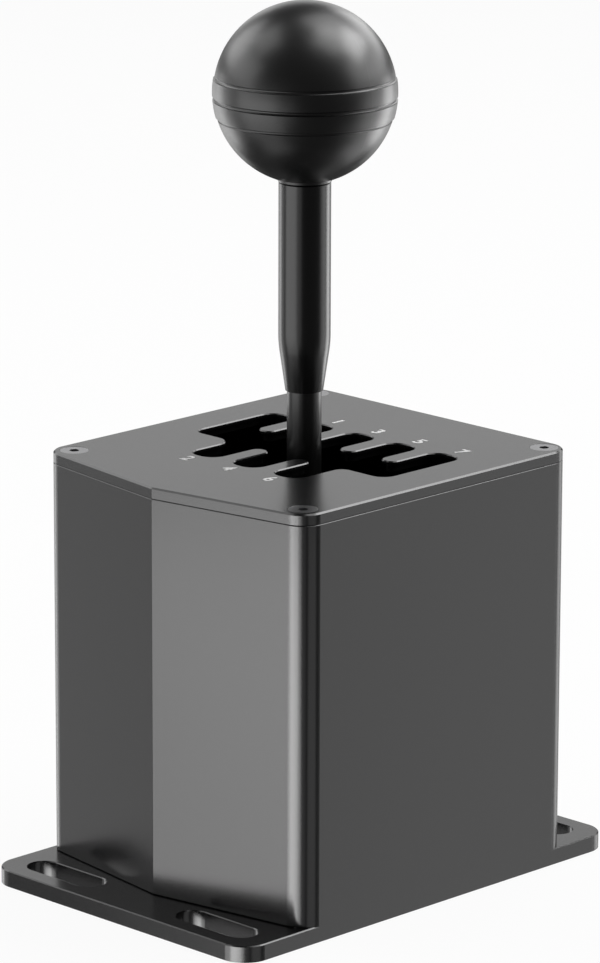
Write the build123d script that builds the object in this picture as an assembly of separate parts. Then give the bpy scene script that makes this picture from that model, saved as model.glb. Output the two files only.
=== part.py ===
"""Seven-speed H-pattern gear shifter for a driving simulator: a flanged base, an extruded
housing, a milled gate cover, and inside them a gimbal that carries the lever.

Millimetres. +X is the driver's right, +Y is forward, +Z is up. The origin is on the underside
of the base plate, and the lever stands on the Z axis at rest. The gimbal's two axes cross at
(0, 0, pivot_z): select turns about Y, and shift turns about X.
"""

import os
from math import cos, pi, radians, sin, sqrt, tan

from build123d import *

# Clearances and the overrun of every cut
fit = 0.02
play = 0.3
overrun = 5.0

# Base plate
base_length = 144.4
base_thickness = 4.6
base_corner_r = 7.5
base_edge = 0.3
slot_length = 27.5
slot_width = 9.0
slot_rim = 0.25
slope = 45.0
slot_side_margin = 6.75
slot_end_margin = 5.3

# Housing: two front facets meet at a ridge, and the rear face is flat
body_width = 100.0
front_corner_y = -49.94
ridge_y = -57.84
rear_y = 54.3
body_corner_r = 6.66
ridge_r = 0.8
housing_height = 111.15
housing_wall = 4.0
seam_edge = 0.18
foot_edge = 0.35
boss_side = 5.0
boss_corner_r = 3.0

# Gate cover
cover_thickness = 3.2
cover_edge = 0.45
lip_thickness = 1.0
gate_edge = 0.3
gate_relief = 1.2
column_pitch = 15.8
column_width = 10.2
outer_column_width = 10.4
gate_reach = 24.5
channel_half_width = 6.65
finger_tip_y = 7.4
pocket_corner_r = 4.4
channel_corner_r = 4.0
finger_r = 2.6
left_shoulder_r = 5.0
right_shoulder_r = 3.2

# Countersunk screws in the cover and under the base
corner_screw_side = 5.9
corner_screw_rear = 5.2
corner_screw_front = 5.14
screw_r = 2.0
screw_length = 10.0
screw_head_r = 4.0
screw_head_height = 2.2
screw_hex_af = 2.5
screw_hex_depth = 1.6
screw_hole_r = 2.2
screw_sink = 0.05
thread_spare = 2.0

# Gimbal yoke
pivot_z = 40.0
yoke_half_x = 24.0
yoke_half_y = 24.0
yoke_half_z = 11.0
yoke_side_wall = 7.0
yoke_end_wall = 6.0
yoke_corner_r = 5.0
yoke_edge = 0.8
yoke_pocket_r = 3.0

# Shafts, and four ball bearings that are all alike
shaft_r = 4.0
bearing_r = 8.0
bearing_width = 5.0
bearing_inner_r = 5.3
bearing_race_r = 6.6
shield_gap = 0.1
shield_thickness = 0.6
shoulder_r = 6.5

# Brackets that carry the trunnion bearings
front_bracket_y = 36.0
rear_bracket_y = 26.0
bracket_thickness = 6.0
bracket_half_width = 20.0
bracket_top_r = 13.0
bracket_foot_length = 8.0
bracket_foot_height = 6.0
bracket_screw_x = 14.0

# Collars on the shafts, and the clips that hold them in their bearings
collar_r = 5.1
clip_r = 6.2
clip_thickness = 0.8
clip_groove_r = 3.6
clip_slot_width = 5.0
shaft_tail = 3.0

# Centring spring round the front trunnion, and the two tabs between its legs
spring_wire_r = 0.75
spring_coil_r = 7.4
spring_pitch = 2.1
spring_turns = 3.5
spring_leg = 20.5
spring_start = 1.5
spring_samples = 24
yoke_tab_low = 10.0
bracket_tab_low = 16.5
tab_height = 4.0
tab_end_gap = 1.0

# Lever hub
hub_half_x = 12.0
hub_half_y = 10.0
hub_depth = 13.0
hub_rise = 15.0
hub_edge = 1.0
hub_boss_r = 9.0
hub_boss_height = 11.0
rod_seat_depth = 18.0
grub_r = 2.0
grub_length = 4.0
grub_drop = 5.0
grub_hex_af = 2.0
grub_hex_depth = 2.0

# Detent cam in the hub's underside
shift_angle = 13.6
cam_thickness = 6.0
cam_radius = 24.0
cam_half_angle = 24.0
cam_top = 6.0
cam_half_width = 8.0
cam_shoulder = 15.0
notch_depth = 1.9
notch_half_angle = 45.0
cam_pin_r = 1.5
cam_pin_y = 4.5
cam_pin_drop = 9.6

# Detent leaf spring under the yoke's rear end
leaf_width = 14.0
leaf_thickness = 0.8
leaf_knee_y = 17.0
leaf_heel_y = 15.5
leaf_drop = 25.8
leaf_bend_r = 1.6
leaf_nose_height = 2.8
leaf_nose_half = 2.8
leaf_nose_r = 0.9
leaf_tail = 10.0
leaf_tip_run = 3.0
leaf_tip_drop = 2.0
leaf_screw_x = 3.8
leaf_screw_r = 1.5
leaf_screw_length = 6.8
leaf_screw_head_r = 2.6
leaf_screw_head_height = 1.7
leaf_screw_hex_af = 2.0
leaf_screw_hex_depth = 0.9

# Lever rod, its lock nut, and the tube over it
rod_r = 4.75
rod_thread_r = 4.0
rod_shoulder_rise = 14.0
nut_af = 16.0
nut_height = 5.0
tube_r = 7.15
tube_tip_r = 5.2
tube_cone_r = 6.8
tube_rise = 17.05
tube_cone_length = 11.0
tube_shoulder_length = 5.0
tube_top_edge = 0.5

# Knob
knob_r = 24.8
knob_rise = 99.45
knob_flat_r = 8.0
knob_band_proud = 0.3
knob_grooves_z = (4.2, -1.5, -7.2)
knob_groove_r = 0.6
knob_collar_r = 7.35
knob_collar_height = 0.75
insert_r = 6.5
insert_height = 20.0
insert_wall = 2.0
thread_in_knob = 17.0

# Magnets on the shaft ends, and the sensor boards that read them
magnet_r = 3.0
magnet_thickness = 2.0
holder_r = 5.2
holder_web = 0.6
holder_grip = 1.4
air_gap = 1.0
board_thickness = 1.2
board_half_width = 13.0
board_half_height = 10.0
chip_half = 2.5
chip_thickness = 1.0
pillar_r = 2.5
pillar_x = 10.0
small_screw_r = 1.2
small_screw_length = 4.8
small_screw_head_r = 2.2
small_screw_head_height = 1.4
small_screw_hex_af = 1.5
small_screw_hex_depth = 0.8
small_hole_r = 1.35

# Main board on the rear wall, and its two sockets
main_board_thickness = 1.6
main_board_margin = 7.1
main_board_bottom = 10.0
main_board_top = 62.0
main_board_gap = 5.7
main_screw_side = 2.5
main_screw_inset = 4.0
main_chip_half = 4.5
main_chip_side = 12.0
main_chip_z = 54.0
socket_z = 25.0
socket_set_back = 0.7
socket_margin = 0.35
usb_x = -15.0
usb_width = 9.0
usb_height = 3.3
usb_corner_r = 1.5
usb_wall = 0.35
usb_mouth_depth = 6.4
usb_tongue_half_width = 3.3
usb_tongue_half_thickness = 0.35
usb_tongue_length = 4.6
data_x = 12.0
data_width = 13.2
data_height = 11.6
data_corner_r = 0.5
data_mouth_width = 9.8
data_mouth_height = 6.8
data_mouth_depth = 6.8
data_latch_width = 6.2
data_latch_height = 2.0
contact_count = 6
contact_pitch = 1.27
contact_width = 0.5
contact_thickness = 0.3
contact_length = 5.6

# Leads inside the housing, and the plugs at their ends
lead_r = 0.8
plug_half_width = 3.0
plug_height = 6.0
plug_depth = 3.6
select_plug_x = 8.0
select_plug_rise = 4.0
shift_plug_y = 5.0
shift_plug_rise = 2.0
main_plug_rise = 2.0
select_main_side = 16.0
shift_main_side = 9.0
lead_rise = 12.0
lead_crown = 16.0
lead_mid_x = 34.0
lead_mid_y = 23.0
lead_bend_share = 0.45

# Places that follow from the sizes above
half_width = body_width / 2
housing_top = base_thickness + housing_height
cover_top = housing_top + cover_thickness
rear_inner_y = rear_y - housing_wall
slot_x = half_width - slot_side_margin - slot_length / 2
slot_y = base_length / 2 - slot_end_margin - slot_width / 2
corner_screw_x = half_width - corner_screw_side
rear_screw_y = rear_y - corner_screw_rear
front_screw_y = front_corner_y + corner_screw_front
corner_screws = [(x, y) for x in (-corner_screw_x, corner_screw_x) for y in (front_screw_y, rear_screw_y)]
bracket_outer = bracket_thickness + bracket_foot_length / 2
bracket_screws = [
    (x, y)
    for x in (-bracket_screw_x, bracket_screw_x)
    for y in (-front_bracket_y - bracket_outer, rear_bracket_y + bracket_outer)
]
tab_half_width = spring_coil_r - spring_wire_r - play
bearing_seat_x = yoke_half_x - bearing_width
holder_length = holder_grip + holder_web + magnet_thickness
holder_to_board = holder_length - holder_grip + air_gap + chip_thickness
trunnion_rear_end = rear_bracket_y + bracket_thickness + shaft_tail
trunnion_front_end = front_bracket_y + bracket_thickness + shaft_tail
cross_shaft_end = yoke_half_x + shaft_tail
select_board_y = trunnion_rear_end + holder_to_board
shift_board_x = cross_shaft_end + holder_to_board
main_board_rear = rear_inner_y - main_board_gap
main_board_front = main_board_rear - main_board_thickness
main_board_half_width = corner_screw_x - boss_side - main_board_margin
main_screw_x = main_board_half_width - main_screw_side
main_chip_x = main_chip_side - main_board_half_width
select_main_x = main_board_half_width - select_main_side
shift_main_x = main_board_half_width - shift_main_side
main_plug_z = pivot_z + board_half_height + main_plug_rise
tube_bottom_z = cover_top + tube_rise
tube_cone_z = tube_bottom_z + tube_cone_length
tube_straight_z = tube_cone_z + tube_shoulder_length
rod_shoulder_z = tube_bottom_z + rod_shoulder_rise
knob_centre_z = cover_top + knob_rise
hub_boss_top = pivot_z + hub_rise + hub_boss_height
rod_bottom = hub_boss_top - rod_seat_depth
knob_flat_z = knob_centre_z - sqrt(knob_r**2 - knob_flat_r**2)
knob_seat_z = knob_flat_z - knob_collar_height
rod_top = knob_seat_z + thread_in_knob
leaf_top = pivot_z - yoke_half_z
leaf_screw_y = yoke_half_y - yoke_end_wall / 2


def block(low, high):
    """A block between its lowest and its highest corner."""
    size = [b - a for a, b in zip(low, high)]
    middle = [(a + b) / 2 for a, b in zip(low, high)]
    return Pos(*middle) * Box(*size)


def along(axis, solid, start, across):
    """A solid made along Z from the origin, laid along an axis from start.

    across is its place in the two other directions, in X, Y, Z order.
    """
    turn = {"x": Rot(0, 90, 0), "y": Rot(-90, 0, 0), "z": Rot(0, 0, 0)}[axis]
    place = list(across)
    place.insert("xyz".index(axis), start)
    return Pos(*place) * turn * solid


def bar(axis, radius, start, end, across=(0, 0)):
    """A round bar along an axis."""
    low, high = sorted((start, end))
    return along(axis, extrude(Circle(radius), high - low), low, across)


def hexagon(axis, across_flats, start, end, across=(0, 0)):
    """A hexagonal bar along an axis."""
    low, high = sorted((start, end))
    flat = RegularPolygon(across_flats / 2, 6, major_radius=False)
    return along(axis, extrude(flat, high - low), low, across)


def rounded(axis, width, height, radius, start, end, across=(0, 0)):
    """A block along an axis whose four long edges are round."""
    low, high = sorted((start, end))
    return along(axis, extrude(RectangleRounded(width, height, radius), high - low), low, across)


def plate_xz(face, start, end):
    """A flat shape drawn in X and Z, with its thickness along Y."""
    low, high = sorted((start, end))
    return Pos(0, high, 0) * extrude(Plane.XZ * face, high - low)


def plate_yz(face, start, end):
    """A flat shape drawn in Y and Z, with its thickness along X."""
    low, high = sorted((start, end))
    return Pos(low, 0, 0) * extrude(Plane.YZ * face, high - low)


def together(shapes):
    """The separate solids that one node holds."""
    return Compound(children=[solid for shape in shapes for solid in shape.solids()])


def save(name, shape):
    """Writes one node."""
    solids = shape.solids()
    export_step(solids[0] if len(solids) == 1 else together(solids), f"parts/{name}.step")


# Casing


def body_outline():
    """The outline that the housing and the gate cover share."""
    corners = [
        (half_width, rear_y),
        (-half_width, rear_y),
        (-half_width, front_corner_y),
        (0, ridge_y),
        (half_width, front_corner_y),
    ]
    outline = make_face(Polyline(*corners, close=True))
    outline = fillet(outline.vertices().sort_by(Axis.Y)[1:], body_corner_r)
    return fillet(outline.vertices().sort_by(Axis.Y)[:1], ridge_r)


def countersunk(x, y, face_z, up, head_r, hole_r, length):
    """A countersunk form whose head is level with a face and opens up (1) or down (-1)."""
    neck_z = face_z - up * screw_head_height
    low_r, high_r = (hole_r, head_r) if up > 0 else (head_r, hole_r)
    head = Pos(x, y, (neck_z + face_z) / 2) * Cone(low_r, high_r, screw_head_height)
    return head + bar("z", hole_r, neck_z, face_z - up * length, (x, y))


def countersunk_hole(x, y, face_z, up):
    """The hole in a plate for one of the countersunk screws."""
    length = screw_head_height + overrun
    sink = countersunk(x, y, face_z, up, screw_head_r + fit, screw_hole_r, length)
    return sink + bar("z", screw_head_r + fit, face_z, face_z + up * overrun, (x, y))


def countersunk_screw(x, y, face_z, up):
    """A countersunk screw with a hexagon socket."""
    top = face_z - up * screw_sink
    screw = countersunk(x, y, top, up, screw_head_r - screw_sink, screw_r, screw_length)
    return screw - hexagon("z", screw_hex_af, top - up * screw_hex_depth, top + up * overrun, (x, y))


def make_base_plate():
    plate = extrude(RectangleRounded(body_width, base_length, base_corner_r), base_thickness)
    plate = chamfer(plate.faces().sort_by(Axis.Z)[-1].outer_wire().edges(), base_edge)
    plate += extrude(body_outline(), base_thickness)
    for x in (-slot_x, slot_x):
        for y in (-slot_y, slot_y):
            slot = extrude(SlotOverall(slot_length, slot_width), base_thickness)
            rim = extrude(SlotOverall(slot_length, slot_width), slot_rim, taper=-slope)
            plate -= Pos(x, y, 0) * slot
            plate -= Pos(x, y, base_thickness - slot_rim) * rim
    for x, y in corner_screws + bracket_screws:
        plate -= countersunk_hole(x, y, 0, -1)
    return plate


def make_housing():
    cavity = offset(body_outline(), amount=-housing_wall)
    boss = 2 * boss_side + overrun
    for x, y in corner_screws:
        side_x = x / abs(x)
        side_y = y / abs(y)
        place = Pos(x + side_x * overrun / 2, y + side_y * overrun / 2)
        cavity -= place * RectangleRounded(boss, boss, boss_corner_r)
    body = extrude(body_outline(), housing_height) - extrude(cavity, housing_height)
    body = chamfer(body.faces().sort_by(Axis.Z)[-1].outer_wire().edges(), seam_edge)
    foot = extrude(body_outline(), foot_edge)
    foot -= extrude(offset(body_outline(), amount=-foot_edge), foot_edge, taper=-slope)
    facets = block((-half_width, ridge_y - overrun, 0), (half_width, front_corner_y, foot_edge))
    body -= foot & facets
    body = Pos(0, 0, base_thickness) * body
    for x, y in corner_screws:
        reach = screw_length + thread_spare
        body -= bar("z", screw_r + fit, base_thickness, reach, (x, y))
        body -= bar("z", screw_r + fit, cover_top - reach, housing_top, (x, y))
    ends = (rear_inner_y - overrun, rear_y + overrun)
    margin = 2 * socket_margin
    body -= rounded(
        "y", usb_width + margin, usb_height + margin, usb_corner_r + socket_margin, *ends, (usb_x, socket_z)
    )
    body -= rounded(
        "y", data_width + margin, data_height + margin, data_corner_r + socket_margin, *ends, (data_x, socket_z)
    )
    return body


def column_half_width(column):
    """The outer two columns are a little wider, because the lever leans further there."""
    return (outer_column_width if abs(column) == 2 else column_width) / 2


def flat_block(low, high):
    """A rectangle between its lowest and its highest corner."""
    corners = [low, (high[0], low[1]), high, (low[0], high[1])]
    return make_face(Polyline(*corners, close=True))


def gate_outline():
    """The H-pattern: five columns forward of the channel, and the middle three behind it."""
    outer_x = 2 * column_pitch + column_half_width(2)
    inner_x = column_pitch + column_half_width(1)
    corners = [(-outer_x, -channel_half_width, channel_corner_r)]
    for column in range(-2, 3):
        left = column * column_pitch - column_half_width(column)
        right = column * column_pitch + column_half_width(column)
        if column > -2:
            corners.append((left, finger_tip_y, finger_r))
        corners += [(left, gate_reach, pocket_corner_r), (right, gate_reach, pocket_corner_r)]
        if column < 2:
            corners.append((right, finger_tip_y, finger_r))
    corners.append((outer_x, -channel_half_width, channel_corner_r))
    corners.append((inner_x, -channel_half_width, right_shoulder_r))
    for column in (1, 0, -1):
        left = column * column_pitch - column_half_width(column)
        right = column * column_pitch + column_half_width(column)
        if column < 1:
            corners.append((right, -finger_tip_y, finger_r))
        corners += [(right, -gate_reach, pocket_corner_r), (left, -gate_reach, pocket_corner_r)]
        if column > -1:
            corners.append((left, -finger_tip_y, finger_r))
    corners.append((-inner_x, -channel_half_width, left_shoulder_r))
    points = [(x, y) for x, y, radius in corners]
    radii = [radius for x, y, radius in corners]
    return make_face(FilletPolyline(*points, radius=radii, close=True))


def make_gate_cover():
    gate = gate_outline()
    cover = extrude(body_outline(), cover_thickness) - extrude(gate, cover_thickness)
    top = cover.faces().sort_by(Axis.Z)[-1]
    cover = chamfer(top.inner_wires().edges(), gate_edge)
    top = cover.faces().sort_by(Axis.Z)[-1]
    cover = chamfer(top.outer_wire().edges(), cover_edge)
    cover = chamfer(cover.faces().sort_by(Axis.Z)[0].outer_wire().edges(), seam_edge)
    relief = offset(gate, amount=gate_relief)
    cover -= extrude(relief, cover_thickness - lip_thickness)
    cover = Pos(0, 0, housing_top) * cover
    for x, y in corner_screws:
        cover -= countersunk_hole(x, y, cover_top, 1)
    return cover


def make_cover_screws():
    return together([countersunk_screw(x, y, cover_top, 1) for x, y in corner_screws])


def make_base_screws():
    return together([countersunk_screw(x, y, 0, -1) for x, y in corner_screws])


def make_bracket_screws():
    return together([countersunk_screw(x, y, 0, -1) for x, y in bracket_screws])


# Gimbal carrier


def bracket(side, inner):
    """An upright with a foot; side is -1 in front and 1 behind, and inner its distance from the axis."""
    shoulder_z = base_thickness + bracket_foot_height
    corners = [
        (-bracket_half_width, base_thickness),
        (bracket_half_width, base_thickness),
        (bracket_half_width, shoulder_z),
        (bracket_top_r, pivot_z),
        (-bracket_top_r, pivot_z),
        (-bracket_half_width, shoulder_z),
    ]
    face = make_face(Polyline(*corners, close=True)) + Pos(0, pivot_z) * Circle(bracket_top_r)
    outer = inner + bracket_thickness
    body = plate_xz(face, side * inner, side * outer)
    foot_y = sorted((side * inner, side * (outer + bracket_foot_length)))
    foot = block(
        (-bracket_half_width, foot_y[0], base_thickness), (bracket_half_width, foot_y[1], shoulder_z)
    )
    body += foot
    body -= bar("y", bearing_r + fit, side * (inner - overrun), side * (inner + bearing_width), (0, pivot_z))
    body -= bar("y", shoulder_r, side * inner, side * (outer + overrun), (0, pivot_z))
    for x in (-bracket_screw_x, bracket_screw_x):
        at = (x, side * (inner + bracket_outer))
        body -= bar("z", screw_r + fit, 0, screw_length + overrun, at)
    return body


def make_front_bracket():
    """The front bracket also holds the tab that the centring spring's legs rest against."""
    tab_z = pivot_z + bracket_tab_low
    outer = front_bracket_y + bracket_thickness
    body = bracket(-1, front_bracket_y)
    neck = block((-tab_half_width, -outer, pivot_z + shoulder_r), (tab_half_width, -front_bracket_y, tab_z))
    body += neck - bar("y", bearing_r + fit, -outer, -front_bracket_y, (0, pivot_z))
    inner_end = yoke_half_y + tab_end_gap
    return body + block((-tab_half_width, -outer, tab_z), (tab_half_width, -inner_end, tab_z + tab_height))


def make_rear_bracket():
    return bracket(1, rear_bracket_y)


def bearing_outer(axis, start):
    """A bearing's outer ring with its two shields."""
    end = start + bearing_width
    across = (0, pivot_z)
    ring = bar(axis, bearing_r, start, end, across)
    ring -= bar(axis, bearing_race_r, start + shield_thickness, end - shield_thickness, across)
    return ring - bar(axis, bearing_inner_r + shield_gap, start, end, across)


def bearing_inner(axis, start):
    """A bearing's inner ring."""
    end = start + bearing_width
    ring = bar(axis, bearing_inner_r, start, end, (0, pivot_z))
    return ring - bar(axis, shaft_r + fit, start, end, (0, pivot_z))


trunnion_bearings = [-front_bracket_y - bearing_width, rear_bracket_y]
pivot_bearings = [-yoke_half_x, bearing_seat_x]


def make_trunnion_bearing_outers():
    return together([bearing_outer("y", start) for start in trunnion_bearings])


def make_trunnion_bearing_inners():
    return together([bearing_inner("y", start) for start in trunnion_bearings])


def make_pivot_bearing_outers():
    return together([bearing_outer("x", start) for start in pivot_bearings])


def make_pivot_bearing_inners():
    return together([bearing_inner("x", start) for start in pivot_bearings])


def clip(axis, start):
    """A retaining clip in its groove, open downwards."""
    across = (0, pivot_z)
    end = start + clip_thickness
    ring = bar(axis, clip_r, start, end, across) - bar(axis, clip_groove_r + fit, start, end, across)
    half = clip_slot_width / 2
    if axis == "x":
        return ring - block((start, -half, pivot_z - clip_r), (end, half, pivot_z))
    return ring - block((-half, start, pivot_z - clip_r), (half, end, pivot_z))


def groove(axis, start):
    """The cut in a shaft that a clip sits in."""
    across = (0, pivot_z)
    ends = (start - fit, start + clip_thickness + fit)
    return bar(axis, shaft_r + play, *ends, across) - bar(axis, clip_groove_r, *ends, across)


trunnion_clips = [
    -front_bracket_y - bracket_thickness - play - clip_thickness,
    rear_bracket_y + bracket_thickness + play,
]
cross_shaft_clips = [-yoke_half_x - play - clip_thickness, yoke_half_x + play]


def make_trunnion_clips():
    return together([clip("y", start) for start in trunnion_clips])


def make_cross_shaft_clips():
    return together([clip("x", start) for start in cross_shaft_clips])


def make_yoke():
    low = pivot_z - yoke_half_z
    high = pivot_z + yoke_half_z
    frame = rounded("z", 2 * yoke_half_x, 2 * yoke_half_y, yoke_corner_r, low, high)
    frame = chamfer(frame.faces().sort_by(Axis.Z)[-1].edges(), yoke_edge)
    frame = chamfer(frame.faces().sort_by(Axis.Z)[0].edges(), yoke_edge)
    pocket_x = 2 * (yoke_half_x - yoke_side_wall)
    pocket_y = 2 * (yoke_half_y - yoke_end_wall)
    frame -= rounded("z", pocket_x, pocket_y, yoke_pocket_r, low, high)
    tab_z = pivot_z + yoke_tab_low
    tab_front = front_bracket_y - tab_end_gap
    pocket_front = yoke_half_y - yoke_end_wall
    frame += block((-tab_half_width, -tab_front, tab_z), (tab_half_width, -pocket_front, tab_z + tab_height))
    across = (0, pivot_z)
    frame -= bar("x", shoulder_r, -yoke_half_x, yoke_half_x, across)
    frame -= bar("y", shaft_r + fit, -yoke_half_y, yoke_half_y, across)
    for side in (-1, 1):
        frame -= bar("x", bearing_r + fit, side * bearing_seat_x, side * yoke_half_x, across)
        leaf_hole = leaf_top + leaf_screw_length
        frame -= bar("z", leaf_screw_r + fit, leaf_top, leaf_hole, (side * leaf_screw_x, leaf_screw_y))
    return frame


def trunnion(side, bracket_y, end, clip_start):
    """A shaft end in the yoke, with the collar that keeps the yoke off the bearing."""
    across = (0, pivot_z)
    shaft = bar("y", shaft_r, side * (yoke_half_y - yoke_end_wall), side * end, across)
    shaft += bar("y", collar_r, side * yoke_half_y, side * bracket_y, across)
    return shaft - groove("y", clip_start)


def make_front_trunnion():
    return trunnion(-1, front_bracket_y, trunnion_front_end, trunnion_clips[0])


def make_rear_trunnion():
    return trunnion(1, rear_bracket_y, trunnion_rear_end, trunnion_clips[1])


# Centring spring


def coil_point(turns):
    """A point of the coil's centre line, which starts at the left and winds forward."""
    angle = pi + 2 * pi * turns
    y = -yoke_half_y - spring_start - spring_wire_r - spring_pitch * turns
    return Vector(spring_coil_r * cos(angle), y, pivot_z + spring_coil_r * sin(angle))


def make_centring_spring():
    """One unbroken wire: a leg up the left, the coil in quarter turns, and a leg up the right."""
    rise = Vector(0, 0, spring_leg)
    quarters = round(4 * spring_turns)
    edges = [Line(coil_point(0) + rise, coil_point(0))]
    for i in range(quarters):
        edges.append(ThreePointArc(*[coil_point((i + step) / 4) for step in (0, 1 / 2, 1)]))
    edges.append(Line(coil_point(spring_turns), coil_point(spring_turns) + rise))
    path = Wire([edge.edge() for edge in edges])
    section = Plane(origin=coil_point(0) + rise, z_dir=(0, 0, -1)) * Circle(spring_wire_r)
    return sweep(section, path=path)


def least_spring_gap():
    """The least space between the spring's wire and itself, on points along its coil and legs."""
    count = round(spring_samples * spring_turns)
    coil = [coil_point(i / spring_samples) for i in range(count + 1)]
    step = spring_leg / spring_samples
    first = [coil[0] + Vector(0, 0, i * step) for i in range(1, spring_samples + 1)]
    last = [coil[-1] + Vector(0, 0, i * step) for i in range(1, spring_samples + 1)]
    line = first[::-1] + coil + last
    apart = spring_samples // 2
    gaps = [(line[i] - line[j]).length for i in range(len(line)) for j in range(i + apart, len(line))]
    return min(gaps) - 2 * spring_wire_r


# Lever hub and its shaft


def make_lever_hub():
    across = (0, pivot_z)
    hub = block(
        (-hub_half_x, -hub_half_y, pivot_z - hub_depth), (hub_half_x, hub_half_y, pivot_z + hub_rise)
    )
    hub = chamfer(hub.edges(), hub_edge)
    hub += bar("x", collar_r, -bearing_seat_x, bearing_seat_x, across)
    hub += bar("z", hub_boss_r, pivot_z + hub_rise, hub_boss_top)
    hub -= bar("x", shaft_r + fit, -bearing_seat_x, bearing_seat_x, across)
    hub -= bar("z", rod_r + fit, rod_bottom, hub_boss_top)
    slot = cam_thickness / 2 + fit
    hub -= block((-slot, -hub_half_y, pivot_z - hub_depth), (slot, hub_half_y, pivot_z - cam_top))
    for y in (-cam_pin_y, cam_pin_y):
        hub -= bar("x", cam_pin_r + fit, -hub_half_x, hub_half_x, (y, pivot_z - cam_pin_drop))
    return hub - bar("y", grub_r + fit, -hub_boss_r, 0, (0, hub_boss_top - grub_drop))


def make_hub_grub_screw():
    tip = -rod_r - fit
    at = (0, hub_boss_top - grub_drop)
    screw = bar("y", grub_r, tip - grub_length, tip, at)
    return screw - hexagon("y", grub_hex_af, tip - grub_length, tip - grub_length + grub_hex_depth, at)


def make_cross_shaft():
    shaft = bar("x", shaft_r, -cross_shaft_end, cross_shaft_end, (0, pivot_z))
    for start in cross_shaft_clips:
        shaft -= groove("x", start)
    return shaft


def make_detent_cam():
    """A steel plate with a notch for each end of the shift and one for neutral."""
    reach = cam_radius * tan(radians(cam_half_angle))
    wedge = make_face(Polyline((0, 0), (reach, -cam_radius), (-reach, -cam_radius), close=True))
    below = flat_block((-cam_radius, -cam_radius), (cam_radius, -hub_depth))
    face = Circle(cam_radius) & wedge & below
    face += flat_block((-cam_half_width, -cam_shoulder), (cam_half_width, -cam_top - fit))
    deep = notch_depth + overrun
    flank = deep * tan(radians(notch_half_angle))
    apex = notch_depth - cam_radius
    notch = make_face(Polyline((0, apex), (flank, apex - deep), (-flank, apex - deep), close=True))
    for angle in (-shift_angle, 0, shift_angle):
        face -= Rot(0, 0, angle) * notch
    cam = Pos(0, 0, pivot_z) * plate_yz(face, -cam_thickness / 2, cam_thickness / 2)
    for y in (-cam_pin_y, cam_pin_y):
        cam -= bar("x", cam_pin_r + fit, -cam_thickness, cam_thickness, (y, pivot_z - cam_pin_drop))
    return cam


def make_cam_pins():
    drop = pivot_z - cam_pin_drop
    return together([bar("x", cam_pin_r, -hub_half_x, hub_half_x, (y, drop)) for y in (-cam_pin_y, cam_pin_y)])


def make_detent_leaf():
    """A folded strip whose nose rests in the cam's middle notch."""
    root_z = -yoke_half_z - leaf_thickness / 2
    points = [
        (yoke_half_y, root_z),
        (leaf_knee_y, root_z),
        (leaf_heel_y, -leaf_drop),
        (leaf_nose_half, -leaf_drop),
        (0, leaf_nose_height - leaf_drop),
        (-leaf_nose_half, -leaf_drop),
        (-leaf_tail, -leaf_drop),
        (-leaf_tail - leaf_tip_run, -leaf_drop - leaf_tip_drop),
    ]
    bends = [leaf_bend_r, leaf_bend_r, leaf_nose_r, leaf_nose_r, leaf_nose_r, leaf_bend_r]
    strip = trace(FilletPolyline(*points, radius=bends), leaf_thickness)
    leaf = Pos(0, 0, pivot_z) * plate_yz(strip, -leaf_width / 2, leaf_width / 2)
    for x in (-leaf_screw_x, leaf_screw_x):
        leaf -= bar("z", leaf_screw_r + fit, leaf_top - leaf_thickness, leaf_top, (x, leaf_screw_y))
    return leaf


def make_detent_leaf_screws():
    """Two cap screws that hold the leaf from below."""
    seat = leaf_top - leaf_thickness
    head_end = seat - leaf_screw_head_height
    screws = []
    for x in (-leaf_screw_x, leaf_screw_x):
        at = (x, leaf_screw_y)
        screw = bar("z", leaf_screw_head_r, head_end, seat, at)
        screw += bar("z", leaf_screw_r, seat, leaf_top + leaf_screw_length - play, at)
        socket_end = head_end + leaf_screw_hex_depth
        screws.append(screw - hexagon("z", leaf_screw_hex_af, head_end, socket_end, at))
    return together(screws)


# Lever


def make_lever_rod():
    """The rod, with a thinner threaded end inside the tube and the knob."""
    return bar("z", rod_r, rod_bottom, rod_shoulder_z) + bar("z", rod_thread_r, rod_shoulder_z, rod_top)


def make_rod_lock_nut():
    nut = hexagon("z", nut_af, hub_boss_top, hub_boss_top + nut_height)
    return nut - bar("z", rod_r + fit, hub_boss_top, hub_boss_top + nut_height)


def make_lever_tube():
    """The tube over the rod: a short cone, a soft shoulder, and a straight barrel."""
    edge_z = knob_seat_z - tube_top_edge
    top = [(tube_r, edge_z), (tube_r - tube_top_edge, knob_seat_z), (0, knob_seat_z)]
    low = [(0, tube_bottom_z), (tube_tip_r, tube_bottom_z), (tube_cone_r, tube_cone_z)]
    lines = Polyline(*top, *low)
    shoulder = TangentArc((tube_r, tube_straight_z), (tube_cone_r, tube_cone_z), tangent=(0, -1))
    barrel = Line((tube_r, tube_straight_z), (tube_r, edge_z))
    profile = make_face([*lines.edges(), shoulder.edge(), barrel.edge()])
    tube = revolve(Plane.XZ * profile, Axis.Z)
    tube -= bar("z", rod_r + fit, tube_bottom_z, rod_shoulder_z)
    return tube - bar("z", rod_thread_r + fit, rod_shoulder_z, knob_seat_z)


def knob_groove(z, radius):
    """A round groove in the ball at a height from its centre."""
    return Pos(0, 0, z) * Torus(sqrt(radius**2 - z**2), knob_groove_r)


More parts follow.
